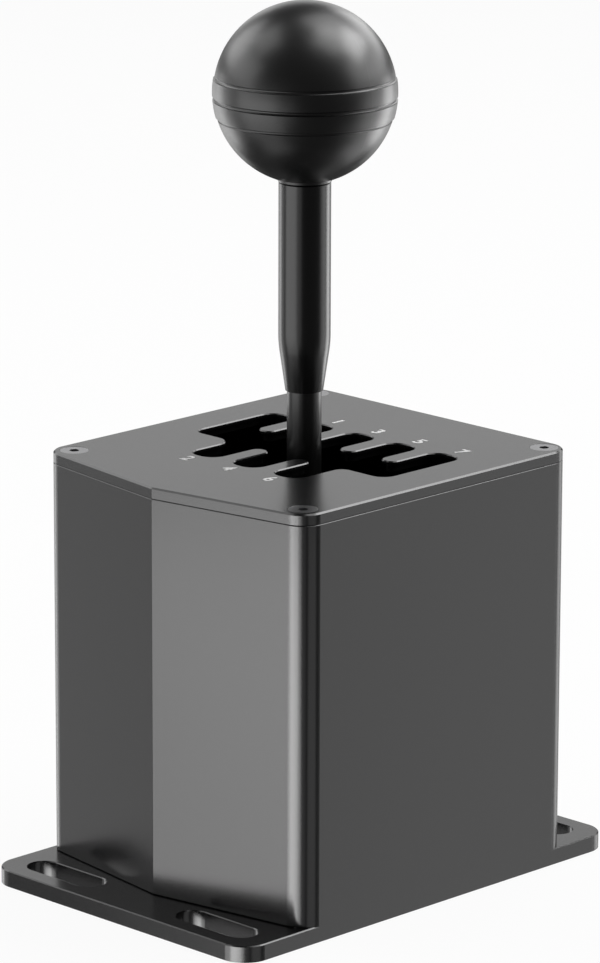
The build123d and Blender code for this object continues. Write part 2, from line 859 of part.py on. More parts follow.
def make_shift_knob():
    """A ball on a low collar, with a slightly proud band between its upper and lower grooves."""
    top_z, middle_z, low_z = knob_grooves_z
    proud_r = knob_r + knob_band_proud
    belt = block((-proud_r, -proud_r, low_z), (proud_r, proud_r, top_z))
    ball = Sphere(knob_r) + (Sphere(proud_r) & belt)
    ball -= knob_groove(top_z, proud_r)
    ball -= knob_groove(middle_z, proud_r)
    ball -= knob_groove(low_z, proud_r)
    ball = Pos(0, 0, knob_centre_z) * ball
    under = (-knob_r, -knob_r, knob_centre_z - knob_r - overrun)
    ball -= block(under, (knob_r, knob_r, knob_flat_z))
    ball += bar("z", knob_collar_r, knob_seat_z, knob_flat_z)
    return ball - bar("z", insert_r + fit, knob_seat_z, knob_seat_z + insert_height)


def make_knob_insert():
    insert = bar("z", insert_r, knob_seat_z, knob_seat_z + insert_height)
    return insert - bar("z", rod_thread_r + fit, knob_seat_z, knob_seat_z + insert_height - insert_wall)


# Magnets and sensor boards


def magnet_holder(axis, shaft_end):
    """A cup that grips a shaft's end and holds a disc magnet."""
    across = (0, pivot_z)
    start = shaft_end - holder_grip
    magnet_start = shaft_end + holder_web
    holder = bar(axis, holder_r, start, start + holder_length, across)
    holder -= bar(axis, shaft_r + fit, start, shaft_end, across)
    return holder - bar(axis, magnet_r + fit, magnet_start, start + holder_length, across)


def magnet(axis, shaft_end):
    start = shaft_end + holder_web
    return bar(axis, magnet_r, start, start + magnet_thickness, (0, pivot_z))


def make_select_magnet_holder():
    return magnet_holder("y", trunnion_rear_end)


def make_select_magnet():
    return magnet("y", trunnion_rear_end)


def make_shift_magnet_holder():
    return magnet_holder("x", cross_shaft_end)


def make_shift_magnet():
    return magnet("x", cross_shaft_end)


def small_screw(axis, seat, way, across):
    """A small screw whose head lies on a seat, with its shank the other way along an axis."""
    head_end = seat + way * small_screw_head_height
    screw = bar(axis, small_screw_head_r, seat, head_end, across)
    screw += bar(axis, small_screw_r, seat, seat - way * small_screw_length, across)
    socket = head_end - way * small_screw_hex_depth
    return screw - hexagon(axis, small_screw_hex_af, socket, head_end, across)


def sensor_pillars(axis, start, end):
    pillars = []
    for x in (-pillar_x, pillar_x):
        pillar = bar(axis, pillar_r, start, end, (x, pivot_z))
        pillars.append(pillar - bar(axis, small_screw_r + fit, start, end, (x, pivot_z)))
    return together(pillars)


def sensor_board(axis, start):
    """A small board with a hole over each pillar."""
    width = 2 * board_half_width
    height = 2 * board_half_height
    sizes = (height, width) if axis == "x" else (width, height)
    board = along(axis, extrude(Rectangle(*sizes), board_thickness), start, (0, pivot_z))
    for x in (-pillar_x, pillar_x):
        board -= bar(axis, small_hole_r, start, start + board_thickness, (x, pivot_z))
    return board


def sensor_chip(axis, board_face):
    side = 2 * chip_half
    start = board_face - chip_thickness
    return along(axis, extrude(Rectangle(side, side), chip_thickness), start, (0, pivot_z))


def sensor_screws(axis, seat):
    return together([small_screw(axis, seat, 1, (x, pivot_z)) for x in (-pillar_x, pillar_x)])


def make_select_board_pillars():
    return sensor_pillars("y", rear_bracket_y + bracket_thickness, select_board_y)


def make_select_sensor_board():
    return sensor_board("y", select_board_y)


def make_select_sensor_chip():
    return sensor_chip("y", select_board_y)


def make_select_board_screws():
    return sensor_screws("y", select_board_y + board_thickness)


def make_shift_board_pillars():
    return sensor_pillars("x", yoke_half_x, shift_board_x)


def make_shift_sensor_board():
    return sensor_board("x", shift_board_x)


def make_shift_sensor_chip():
    return sensor_chip("x", shift_board_x)


def make_shift_board_screws():
    return sensor_screws("x", shift_board_x + board_thickness)


# Main board


main_screws = [
    (x, z)
    for x in (-main_screw_x, main_screw_x)
    for z in (main_board_bottom + main_screw_inset, main_board_top - main_screw_inset)
]


def make_main_board():
    low = (-main_board_half_width, main_board_front, main_board_bottom)
    board = block(low, (main_board_half_width, main_board_rear, main_board_top))
    for at in main_screws:
        board -= bar("y", small_hole_r, main_board_front, main_board_rear, at)
    return board


def make_main_board_pillars():
    pillars = []
    for at in main_screws:
        pillar = bar("y", pillar_r, main_board_rear, rear_inner_y, at)
        pillars.append(pillar - bar("y", small_screw_r + fit, main_board_rear, rear_inner_y, at))
    return together(pillars)


def make_main_board_screws():
    return together([small_screw("y", main_board_front, -1, at) for at in main_screws])


def make_main_board_chip():
    low = (main_chip_x - main_chip_half, main_board_front - chip_thickness, main_chip_z - main_chip_half)
    return block(low, (main_chip_x + main_chip_half, main_board_front, main_chip_z + main_chip_half))


def make_usb_socket():
    """A flat oval metal shell with a tongue in its mouth."""
    outer = rear_y - socket_set_back
    inner = outer - usb_mouth_depth
    across = (usb_x, socket_z)
    shell = rounded("y", usb_width, usb_height, usb_corner_r, main_board_rear, outer, across)
    wall = 2 * usb_wall
    shell -= rounded(
        "y", usb_width - wall, usb_height - wall, usb_corner_r - usb_wall, inner, outer, across
    )
    half_x = usb_tongue_half_width
    half_z = usb_tongue_half_thickness
    low = (usb_x - half_x, inner, socket_z - half_z)
    return shell + block(low, (usb_x + half_x, inner + usb_tongue_length, socket_z + half_z))


def make_data_socket():
    """A square modular socket with a step for the plug's latch."""
    outer = rear_y - socket_set_back
    inner = outer - data_mouth_depth
    across = (data_x, socket_z)
    body = rounded("y", data_width, data_height, data_corner_r, main_board_rear, outer, across)
    half = data_mouth_width / 2
    top = socket_z + data_mouth_height / 2
    low = socket_z - data_mouth_height / 2
    body -= block((data_x - half, inner, low), (data_x + half, outer, top))
    latch = data_latch_width / 2
    return body - block((data_x - latch, inner, low - data_latch_height), (data_x + latch, outer, low))


def make_data_contacts():
    """The socket's spring contacts, laid along the top of its mouth."""
    inner = rear_y - socket_set_back - data_mouth_depth
    top = socket_z + data_mouth_height / 2
    half = contact_width / 2
    contacts = []
    for i in range(contact_count):
        x = data_x + (i - (contact_count - 1) / 2) * contact_pitch
        low = (x - half, inner, top - contact_thickness)
        contacts.append(block(low, (x + half, inner + contact_length, top)))
    return together(contacts)


# Leads and plugs


def plug(low, x_length, y_length):
    """A plug that stands on its low corner."""
    return block(low, (low[0] + x_length, low[1] + y_length, low[2] + plug_height))


def main_plug(x):
    low = (x - plug_half_width, main_board_front - plug_depth, main_plug_z)
    return plug(low, 2 * plug_half_width, plug_depth)


def make_main_board_plugs():
    return together([main_plug(select_main_x), main_plug(shift_main_x)])


def make_select_lead_plug():
    low = (select_plug_x - plug_half_width, select_board_y - plug_depth, pivot_z + select_plug_rise)
    return plug(low, 2 * plug_half_width, plug_depth)


def make_shift_lead_plug():
    start = shift_board_x + board_thickness
    low = (start, shift_plug_y - plug_half_width, pivot_z + shift_plug_rise)
    return plug(low, plug_depth, 2 * plug_half_width)


def lead(points):
    """A lead along straight runs, with each bend as wide as its two runs allow."""
    points = [Vector(*point) for point in points]
    runs = [b - a for a, b in zip(points, points[1:])]
    bends = []
    for before, after in zip(runs, runs[1:]):
        half_turn = radians(before.get_angle(after)) / 2
        bends.append(lead_bend_share * min(before.length, after.length) / tan(half_turn))
    print("lead bend radii", [round(bend, 1) for bend in bends])
    path = FilletPolyline(*points, radius=bends)
    section = Plane(origin=points[0], z_dir=runs[0]) * Circle(lead_r)
    return sweep(section, path=path)


def main_plug_top(x):
    return (x, main_board_front - plug_depth / 2, main_plug_z + plug_height)


def raised(point, rise):
    return (point[0], point[1], point[2] + rise)


def make_select_lead():
    start = (select_plug_x, select_board_y - plug_depth / 2, pivot_z + select_plug_rise + plug_height)
    end = main_plug_top(select_main_x)
    crest = raised(end, lead_rise)
    return lead([start, raised(start, crest[2] - start[2]), crest, end])


def make_shift_lead():
    start_x = shift_board_x + board_thickness + plug_depth / 2
    start = (start_x, shift_plug_y, pivot_z + shift_plug_rise + plug_height)
    middle = (lead_mid_x, lead_mid_y, start[2] + lead_crown)
    end = main_plug_top(shift_main_x)
    return lead([start, raised(start, lead_rise), middle, raised(end, lead_rise), end])


nodes = {
    "base_plate": make_base_plate,
    "housing": make_housing,
    "gate_cover": make_gate_cover,
    "cover_screws": make_cover_screws,
    "base_screws": make_base_screws,
    "bracket_screws": make_bracket_screws,
    "front_bracket": make_front_bracket,
    "rear_bracket": make_rear_bracket,
    "trunnion_bearing_outers": make_trunnion_bearing_outers,
    "trunnion_bearing_inners": make_trunnion_bearing_inners,
    "pivot_bearing_outers": make_pivot_bearing_outers,
    "pivot_bearing_inners": make_pivot_bearing_inners,
    "yoke": make_yoke,
    "front_trunnion": make_front_trunnion,
    "rear_trunnion": make_rear_trunnion,
    "trunnion_clips": make_trunnion_clips,
    "centring_spring": make_centring_spring,
    "lever_hub": make_lever_hub,
    "hub_grub_screw": make_hub_grub_screw,
    "cross_shaft": make_cross_shaft,
    "cross_shaft_clips": make_cross_shaft_clips,
    "detent_cam": make_detent_cam,
    "cam_pins": make_cam_pins,
    "detent_leaf": make_detent_leaf,
    "detent_leaf_screws": make_detent_leaf_screws,
    "lever_rod": make_lever_rod,
    "rod_lock_nut": make_rod_lock_nut,
    "lever_tube": make_lever_tube,
    "shift_knob": make_shift_knob,
    "knob_insert": make_knob_insert,
    "select_magnet_holder": make_select_magnet_holder,
    "select_magnet": make_select_magnet,
    "select_board_pillars": make_select_board_pillars,
    "select_sensor_board": make_select_sensor_board,
    "select_sensor_chip": make_select_sensor_chip,
    "select_board_screws": make_select_board_screws,
    "select_lead_plug": make_select_lead_plug,
    "select_lead": make_select_lead,
    "shift_magnet_holder": make_shift_magnet_holder,
    "shift_magnet": make_shift_magnet,
    "shift_board_pillars": make_shift_board_pillars,
    "shift_sensor_board": make_shift_sensor_board,
    "shift_sensor_chip": make_shift_sensor_chip,
    "shift_board_screws": make_shift_board_screws,
    "shift_lead_plug": make_shift_lead_plug,
    "shift_lead": make_shift_lead,
    "main_board": make_main_board,
    "main_board_pillars": make_main_board_pillars,
    "main_board_screws": make_main_board_screws,
    "main_board_chip": make_main_board_chip,
    "main_board_plugs": make_main_board_plugs,
    "usb_socket": make_usb_socket,
    "data_socket": make_data_socket,
    "data_contacts": make_data_contacts,
}

os.makedirs("parts", exist_ok=True)
for name, make in nodes.items():
    save(name, make())
print("least gap of the centring spring to itself", round(least_spring_gap(), 2))
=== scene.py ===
"""Finish of the seven-speed gear shifter: every metal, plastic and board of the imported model,
the gate's numbers, the small parts on the boards, and a plain pale studio. Metres, +Z up."""

import math
import random

import bmesh
import bpy
from mathutils import Matrix, Vector


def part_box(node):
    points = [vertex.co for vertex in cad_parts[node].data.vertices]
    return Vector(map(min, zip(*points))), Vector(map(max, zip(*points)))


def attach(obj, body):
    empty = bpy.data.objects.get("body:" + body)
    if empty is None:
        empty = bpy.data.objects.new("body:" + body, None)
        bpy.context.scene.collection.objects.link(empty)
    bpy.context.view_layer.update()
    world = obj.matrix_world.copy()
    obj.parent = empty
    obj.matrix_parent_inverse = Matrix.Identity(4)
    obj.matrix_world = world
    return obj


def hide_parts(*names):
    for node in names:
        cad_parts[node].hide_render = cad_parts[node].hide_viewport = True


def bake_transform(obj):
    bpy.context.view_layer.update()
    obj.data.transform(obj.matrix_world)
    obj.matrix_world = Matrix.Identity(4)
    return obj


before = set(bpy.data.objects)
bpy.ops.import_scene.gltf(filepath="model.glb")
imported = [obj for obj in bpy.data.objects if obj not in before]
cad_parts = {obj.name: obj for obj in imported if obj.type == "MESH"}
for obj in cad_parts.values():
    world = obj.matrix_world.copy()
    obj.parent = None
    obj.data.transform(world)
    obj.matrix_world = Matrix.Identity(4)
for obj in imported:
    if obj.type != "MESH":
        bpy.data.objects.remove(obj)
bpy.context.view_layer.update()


# Camera
# A long lens, as for a catalogue picture, that looks along the corner between the right-hand
# front facet and the right side, a little from above.
camera_azimuth = math.radians(44.759)
camera_elevation = math.radians(14.602)
camera_roll = math.radians(0.158)
camera_distance = 1.5432
camera_aim = Vector((-0.0060, 0.0045, 0.1081))
lens = 209.42


def level_direction(azimuth, elevation):
    """The direction from the shifter that has this azimuth, from -Y towards +X, and elevation."""
    return Vector((
        math.sin(azimuth) * math.cos(elevation),
        -math.cos(azimuth) * math.cos(elevation),
        math.sin(elevation),
    ))


def facing(point, direction):
    """The matrix of a lamp or camera that stands at the point and looks back down the direction."""
    turn = (-direction).to_track_quat("-Z", "Y").to_matrix().to_4x4()
    return Matrix.Translation(point) @ turn


camera_data = bpy.data.cameras.new("camera")
camera_data.lens = lens
camera = bpy.data.objects.new("camera", camera_data)
to_camera = level_direction(camera_azimuth, camera_elevation)
camera.matrix_world = (facing(camera_aim + to_camera * camera_distance, to_camera)
                       @ Matrix.Rotation(camera_roll, 4, "Z"))
bpy.context.collection.objects.link(camera)
bpy.context.scene.camera = camera


# Base plate
# A flange of 4.6 mm aluminium plate, milled round, bead-blasted and anodised black. Its four
# long slots take the rig's screws. The oxide skin is clear, hard and a little glossy.
oxide_index = 1.77
plate_colour = (0.006, 0.006, 0.0063, 1)
plate_grains = 3200
plate_roughness = (0.19, 0.24)
blast_depth = 0.00001
pit_detail = 2.0
drift_detail = 3.0
slow_drift = 14


def new_group(name, inputs, outputs):
    """An empty shader node group with these (name, default) inputs and these outputs."""
    tree = bpy.data.node_groups.new(name, "ShaderNodeTree")
    for label, start in inputs:
        socket = tree.interface.new_socket(label, in_out="INPUT", socket_type="NodeSocketFloat")
        socket.default_value = start
    for label in outputs:
        tree.interface.new_socket(label, in_out="OUTPUT", socket_type="NodeSocketFloat")
    return tree, tree.nodes.new("NodeGroupInput"), tree.nodes.new("NodeGroupOutput")


def add(tree, kind, links=(), **settings):
    """A node of this kind with its settings, and with links given as (input, source socket)."""
    node = tree.nodes.new(kind)
    for name, value in settings.items():
        if hasattr(node, name):
            setattr(node, name, value)
        else:
            node.inputs[name.replace("_", " ").title()].default_value = value
    for target, source in links:
        tree.links.new(source, node.inputs[target])
    return node


def blasted_skin():
    """Fine pits left by the glass beads, and a slow drift of the finish over the surface."""
    tree, given, out = new_group(
        "blasted_skin", [("Grains", plate_grains), ("Drift Scale", slow_drift)],
        ["Pits", "Drift"])
    place = add(tree, "ShaderNodeTexCoord").outputs["Object"]
    pits = add(tree, "ShaderNodeTexNoise",
               [("Vector", place), ("Scale", given.outputs["Grains"])], detail=pit_detail)
    drift = add(tree, "ShaderNodeTexNoise",
                [("Vector", place), ("Scale", given.outputs["Drift Scale"])],
                detail=drift_detail)
    tree.links.new(pits.outputs["Fac"], out.inputs["Pits"])
    tree.links.new(drift.outputs["Fac"], out.inputs["Drift"])
    return tree


def new_material(name, colour, roughness, metallic=0.0, ior=1.5):
    """A material with its shader's own sockets set."""
    made = bpy.data.materials.new(name)
    made.use_nodes = True
    shader = made.node_tree.nodes["Principled BSDF"]
    shader.inputs["Base Color"].default_value = colour
    shader.inputs["Roughness"].default_value = roughness
    shader.inputs["Metallic"].default_value = metallic
    shader.inputs["IOR"].default_value = ior
    made.diffuse_color = colour
    return made


def place_group(made, group, **values):
    """The group's node in a material, with its own values."""
    node = made.node_tree.nodes.new("ShaderNodeGroup")
    node.node_tree = group
    for name, value in values.items():
        node.inputs[name.replace("_", " ").title()].default_value = value
    return node


def drive(made, socket, mask, low, high):
    """Lets a mask take one of the shader's sockets from its low value to its high one."""
    tree = made.node_tree
    shader = tree.nodes["Principled BSDF"]
    if socket == "Base Color":
        # A mix node's colour sockets are its inputs 6 and 7 and its output 2
        mixed = add(tree, "ShaderNodeMix", data_type="RGBA")
        mixed.inputs[6].default_value = low
        mixed.inputs[7].default_value = high
        tree.links.new(mask, mixed.inputs[0])
        tree.links.new(mixed.outputs[2], shader.inputs[socket])
        return
    spread = add(tree, "ShaderNodeMapRange", [("Value", mask)])
    spread.inputs["To Min"].default_value = low
    spread.inputs["To Max"].default_value = high
    tree.links.new(spread.outputs["Result"], shader.inputs[socket])


def emboss(made, height, depth):
    """Lets a height mask raise the surface by at most the depth, in metres."""
    tree = made.node_tree
    bump = add(tree, "ShaderNodeBump", [("Height", height)])
    bump.inputs["Distance"].default_value = depth
    tree.links.new(bump.outputs["Normal"], tree.nodes["Principled BSDF"].inputs["Normal"])


def finish(made, *names):
    """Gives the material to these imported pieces."""
    for name in names:
        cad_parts[name].material_slots[0].material = made


skin = blasted_skin()


def anodised(name, colour, grains, roughness):
    """Bead-blasted aluminium under a black oxide skin."""
    made = new_material(name, colour, roughness[0], ior=oxide_index)
    blasted = place_group(made, skin, grains=grains)
    drive(made, "Roughness", blasted.outputs["Drift"], *roughness)
    emboss(made, blasted.outputs["Pits"], blast_depth)
    return made


finish(anodised("plate_anodised", plate_colour, plate_grains, plate_roughness), "base_plate")


# Housing
# An extruded aluminium box with two front facets that meet at a ridge, sawn, faced, blasted and
# anodised black like the plate. Corner bosses inside take the screws from above and below.
housing_colour = (0.006, 0.006, 0.0063, 1)
housing_grains = 2600
housing_roughness = (0.20, 0.24)
finish(anodised("housing_anodised", housing_colour, housing_grains, housing_roughness),
       "housing")


# Brackets, yoke and lever hub
# The gimbal's frame: pieces milled from solid aluminium and left bare, so that the cutter's
# arcs still show on their faces.
alloy_colour = (0.60, 0.60, 0.61, 1)
alloy_dark = (0.50, 0.50, 0.515, 1)
alloy_roughness = (0.24, 0.42)
cutter_pitch = 0.0011
cutter_depth = 0.000012
arc_wander = 1.2
smear_per_metre = 260.0
smear_detail = 4.0


def cutter_arcs():
    """Slightly uneven arcs that a face mill leaves, and the haze of its smeared metal."""
    tree, given, out = new_group("cutter_arcs", [("Per Metre", 1 / cutter_pitch)],
                                 ["Arcs", "Haze"])
    place = add(tree, "ShaderNodeTexCoord").outputs["Object"]
    arcs = add(tree, "ShaderNodeTexWave",
               [("Vector", place), ("Scale", given.outputs["Per Metre"])],
               wave_type="RINGS", rings_direction="SPHERICAL", distortion=arc_wander)
    haze = add(tree, "ShaderNodeTexNoise", [("Vector", place)],
               scale=smear_per_metre, detail=smear_detail)
    tree.links.new(arcs.outputs["Fac"], out.inputs["Arcs"])
    tree.links.new(haze.outputs["Fac"], out.inputs["Haze"])
    return tree


arcs = cutter_arcs()
alloy = new_material("milled_alloy", alloy_colour, alloy_roughness[0], metallic=1.0)
milled = place_group(alloy, arcs, per_metre=1 / cutter_pitch)
drive(alloy, "Base Color", milled.outputs["Haze"], alloy_dark, alloy_colour)
drive(alloy, "Roughness", milled.outputs["Arcs"], *alloy_roughness)
emboss(alloy, milled.outputs["Arcs"], cutter_depth)
finish(alloy, "front_bracket", "rear_bracket", "yoke", "lever_hub")


# Trunnions, cross shaft, cam and pins
# Ground steel that runs in the bearings, with fine rings round each shaft from the grinding
# wheel. The cam that hangs from the hub and the two pins that hold it are ground in the same way.
steel_colour = (0.52, 0.52, 0.53, 1)
steel_dark = (0.38, 0.38, 0.395, 1)
steel_roughness = (0.16, 0.30)
ring_pitch = 0.00022
ring_depth = 0.000003
ring_detail = 3.0
polish_per_metre = 90.0
polish_detail = 3.0


def turned_rings():
    """Fine uneven rings round the given axis of a turned or ground piece, and a faint haze."""
    tree, given, out = new_group(
        "turned_rings",
        [("Per Metre", 1 / ring_pitch), ("Axis X", 0), ("Axis Y", 0), ("Axis Z", 1)],
        ["Rings", "Haze"])
    place = add(tree, "ShaderNodeTexCoord").outputs["Object"]
    axis = add(tree, "ShaderNodeCombineXYZ", [
        ("X", given.outputs["Axis X"]), ("Y", given.outputs["Axis Y"]),
        ("Z", given.outputs["Axis Z"])])
    along = add(tree, "ShaderNodeVectorMath",
                [(0, place), (1, axis.outputs["Vector"])], operation="DOT_PRODUCT")
    rings = add(tree, "ShaderNodeTexNoise",
                [("W", along.outputs["Value"]), ("Scale", given.outputs["Per Metre"])],
                noise_dimensions="1D", detail=ring_detail)
    haze = add(tree, "ShaderNodeTexNoise", [("Vector", place)],
               scale=polish_per_metre, detail=polish_detail)
    tree.links.new(rings.outputs["Fac"], out.inputs["Rings"])
    tree.links.new(haze.outputs["Fac"], out.inputs["Haze"])
    return tree


rings = turned_rings()


def turned(name, light, dark, roughness, pitch, depth, axis=(0, 0, 1), metallic=1.0, ior=1.5):
    """A turned or ground finish with its rings round the axis."""
    made = new_material(name, light, roughness[0], metallic=metallic, ior=ior)
    lines = place_group(made, rings, per_metre=1 / pitch,
                        axis_x=axis[0], axis_y=axis[1], axis_z=axis[2])
    drive(made, "Base Color", lines.outputs["Haze"], dark, light)
    drive(made, "Roughness", lines.outputs["Rings"], *roughness)
    emboss(made, lines.outputs["Rings"], depth)
    return made


finish(turned("ground_steel_along", steel_colour, steel_dark, steel_roughness,
              ring_pitch, ring_depth, axis=(0, 1, 0)),
       "front_trunnion", "rear_trunnion")
finish(turned("ground_steel_across", steel_colour, steel_dark, steel_roughness,
              ring_pitch, ring_depth, axis=(1, 0, 0)),
       "cross_shaft", "detent_cam", "cam_pins")


# Bearings
# Four small ball bearings with pressed shields, polished: two carry the yoke's trunnions, and
# two carry the cross shaft.
race_colour = (0.62, 0.62, 0.63, 1)
race_dark = (0.46, 0.46, 0.47, 1)
race_roughness = (0.08, 0.17)
race_pitch = 0.00016
race_depth = 0.0000015
finish(turned("bearing_race_along", race_colour, race_dark, race_roughness, race_pitch,
              race_depth, axis=(0, 1, 0)),
       "trunnion_bearing_outers", "trunnion_bearing_inners")
finish(turned("bearing_race_across", race_colour, race_dark, race_roughness, race_pitch,
              race_depth, axis=(1, 0, 0)),
       "pivot_bearing_outers", "pivot_bearing_inners")


# Springs
# The centring coil is oil-tempered wire, and the detent leaf and the shafts' clips are blued
# strip: dark steel with a straw-brown tint where the tempering heat ran unevenly.
temper_blue = (0.20, 0.205, 0.225, 1)
temper_straw = (0.30, 0.285, 0.26, 1)
spring_roughness = (0.22, 0.36)
draw_grains = 900
temper_drift = 70
draw_depth = 0.000002
spring_steel = new_material("tempered_steel", temper_blue, spring_roughness[0], metallic=1.0)
tempered = place_group(spring_steel, skin, grains=draw_grains, drift_scale=temper_drift)
drive(spring_steel, "Base Color", tempered.outputs["Drift"], temper_blue, temper_straw)
drive(spring_steel, "Roughness", tempered.outputs["Pits"], *spring_roughness)
emboss(spring_steel, tempered.outputs["Pits"], draw_depth)
finish(spring_steel, "centring_spring", "detent_leaf", "trunnion_clips", "cross_shaft_clips")


# Magnets, their holders and the turned brass
# Disc magnets, nickel plated, pressed into moulded holders on the shafts' ends, and turned
# brass pillars that hold each board a few millimetres off its wall. The knob's bush is brass too.
nickel_colour = (0.66, 0.63, 0.58, 1)
nickel_dark = (0.55, 0.53, 0.49, 1)
nickel_roughness = (0.10, 0.22)
holder_colour = (0.018, 0.018, 0.019, 1)
holder_roughness = (0.42, 0.55)
brass_colour = (0.66, 0.46, 0.19, 1)
brass_dark = (0.50, 0.33, 0.12, 1)
brass_roughness = (0.16, 0.30)
brass_pitch = 0.0003
brass_depth = 0.000004
mould_depth = 0.000012
mould_grains = 2200
mould_drift = 60
finish(turned("nickel_plate", nickel_colour, nickel_dark, nickel_roughness, ring_pitch,
              race_depth), "select_magnet", "shift_magnet")
finish(turned("turned_brass_along", brass_colour, brass_dark, brass_roughness, brass_pitch,
              brass_depth, axis=(0, 1, 0)), "select_board_pillars", "main_board_pillars")
finish(turned("turned_brass_across", brass_colour, brass_dark, brass_roughness, brass_pitch,
              brass_depth, axis=(1, 0, 0)), "shift_board_pillars")
finish(turned("turned_brass_upright", brass_colour, brass_dark, brass_roughness, brass_pitch,
              brass_depth), "knob_insert")


def moulded(name, colour, roughness, grains=mould_grains):
    """Plastic with the fine spark-eroded grain of its mould."""
    made = new_material(name, colour, roughness[0])
    grain = place_group(made, skin, grains=grains, drift_scale=mould_drift)
    drive(made, "Roughness", grain.outputs["Drift"], *roughness)
    emboss(made, grain.outputs["Pits"], mould_depth)
    return made


finish(moulded("holder_plastic", holder_colour, holder_roughness),
       "select_magnet_holder", "shift_magnet_holder")


# Boards
# Glass-fibre boards under green solder mask, with copper tracks that show through it as a
# paler relief, and with moulded chips and white crimp plugs.
mask_green = (0.012, 0.105, 0.045, 1)
track_green = (0.035, 0.20, 0.095, 1)
mask_roughness = (0.22, 0.34)
track_depth = 0.00003
tracks_per_metre = 420
track_edge_shares = (0.42, 0.46)
cell_jitter_share = 0.55
chip_colour = (0.016, 0.016, 0.017, 1)
chip_roughness = (0.50, 0.62)
chip_grains = 5200
plug_colour = (0.74, 0.72, 0.66, 1)
plug_roughness = (0.34, 0.44)


def board_tracks():
    """Copper tracks as the borders of right-angled cells."""
    tree, given, out = new_group("board_tracks", [("Per Metre", tracks_per_metre)], ["Tracks"])
    place = add(tree, "ShaderNodeTexCoord").outputs["Object"]
    cells = add(tree, "ShaderNodeTexVoronoi",
                [("Vector", place), ("Scale", given.outputs["Per Metre"])],
                distance="CHEBYCHEV", feature="F1", randomness=cell_jitter_share)
    edge = add(tree, "ShaderNodeMapRange", [("Value", cells.outputs["Distance"])])
    edge.inputs["From Min"].default_value = track_edge_shares[0]
    edge.inputs["From Max"].default_value = track_edge_shares[1]
    tree.links.new(edge.outputs["Result"], out.inputs["Tracks"])
    return tree


tracks = board_tracks()
board = new_material("solder_mask", mask_green, mask_roughness[0])
copper = place_group(board, tracks, per_metre=tracks_per_metre)
drive(board, "Base Color", copper.outputs["Tracks"], mask_green, track_green)
drive(board, "Roughness", copper.outputs["Tracks"], *mask_roughness)
emboss(board, copper.outputs["Tracks"], track_depth)
finish(board, "select_sensor_board", "shift_sensor_board", "main_board")
finish(moulded("chip_resin", chip_colour, chip_roughness, grains=chip_grains),
       "select_sensor_chip", "shift_sensor_chip", "main_board_chip")
finish(moulded("plug_nylon", plug_colour, plug_roughness),
       "select_lead_plug", "shift_lead_plug", "main_board_plugs")


# Chip resistors and capacitors
# Small ceramic parts soldered flat on the three boards, each a dark body between two tinned
# ends. They stand in rows, with some places left bare.
ceramic_colour = (0.030, 0.028, 0.027, 1)
ceramic_roughness = (0.38, 0.52)
ceramic_grains = 4200
tin_colour = (0.62, 0.62, 0.63, 1)
tin_roughness = (0.20, 0.34)
tin_grains = 5000
tin_drift = 400
chip_lengths = (0.0016, 0.0020, 0.0020, 0.0032)
chip_width_share = 0.60
chip_height_share = 0.28
body_share = 0.76
end_share = 0.20
end_swell = 1.06
chip_edge = 0.00006
chip_edge_cuts = 2
round_profile = 0.5
chip_pitch = 0.0046
row_pitch_share = 0.7
bare_place_share = 0.25
upright_share = 0.4
main_left_inset = 0.004
main_right_inset = 0.0105
main_middle_inset = 0.0195
main_low_inset = 0.009
main_top_inset = 0.012
select_side_inset = 0.0115
select_top_inset = 0.006
shift_inset = 0.0035
ceramic = moulded("ceramic", ceramic_colour, ceramic_roughness, grains=ceramic_grains)
tin = new_material("tinned_end", tin_colour, tin_roughness[0], metallic=1.0)
tin_skin = place_group(tin, skin, grains=tin_grains, drift_scale=tin_drift)
drive(tin, "Roughness", tin_skin.outputs["Drift"], *tin_roughness)
emboss(tin, tin_skin.outputs["Pits"], draw_depth)


def bevelled_blocks(name, blocks, made, body):
    """Small blocks, given as matrices of a unit cube, as one bevelled piece."""
    shape = bmesh.new()
    for block in blocks:
        bmesh.ops.create_cube(shape, size=1, matrix=block)
    bmesh.ops.bevel(shape, geom=shape.edges[:], offset=chip_edge, segments=chip_edge_cuts,
                    profile=round_profile, affect="EDGES")
    mesh = bpy.data.meshes.new(name)
    shape.to_mesh(mesh)
    shape.free()
    mesh.materials.append(made)
    piece = bpy.data.objects.new(name, mesh)
    bpy.context.collection.objects.link(piece)
    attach(piece, body)


def solder_chips(name, body, corner, out, columns, rows, seed):
    """A grid of chip parts on a board's face, some places left bare, from the lower corner."""
    chance = random.Random(seed)
    up, out = Vector((0, 0, 1)), Vector(out)
    right = up.cross(out)
    turn = Matrix((right, up, out)).transposed().to_4x4()
    bodies, ends = [], []
    for column in range(columns):
        for row in range(rows):
            if chance.random() < bare_place_share:
                continue
            length = chance.choice(chip_lengths)
            width, height = length * chip_width_share, length * chip_height_share
            middle = (Vector(corner) + right * chip_pitch * column
                      + up * chip_pitch * row_pitch_share * row + out * height / 2)
            stand = Matrix.Translation(middle) @ turn
            if chance.random() < upright_share:
                stand = stand @ Matrix.Rotation(math.pi / 2, 4, "Z")
            bodies.append(stand @ Matrix.Diagonal((length * body_share, width, height, 1)))
            for side in (-1, 1):
                ends.append(stand @ Matrix.Translation(
                    (side * length * (1 - end_share) / 2, 0, 0)) @ Matrix.Diagonal(
                    (length * end_share, width * end_swell, height * end_swell, 1)))
    bevelled_blocks(f"{name}_bodies", bodies, ceramic, body)
    bevelled_blocks(f"{name}_ends", ends, tin, body)


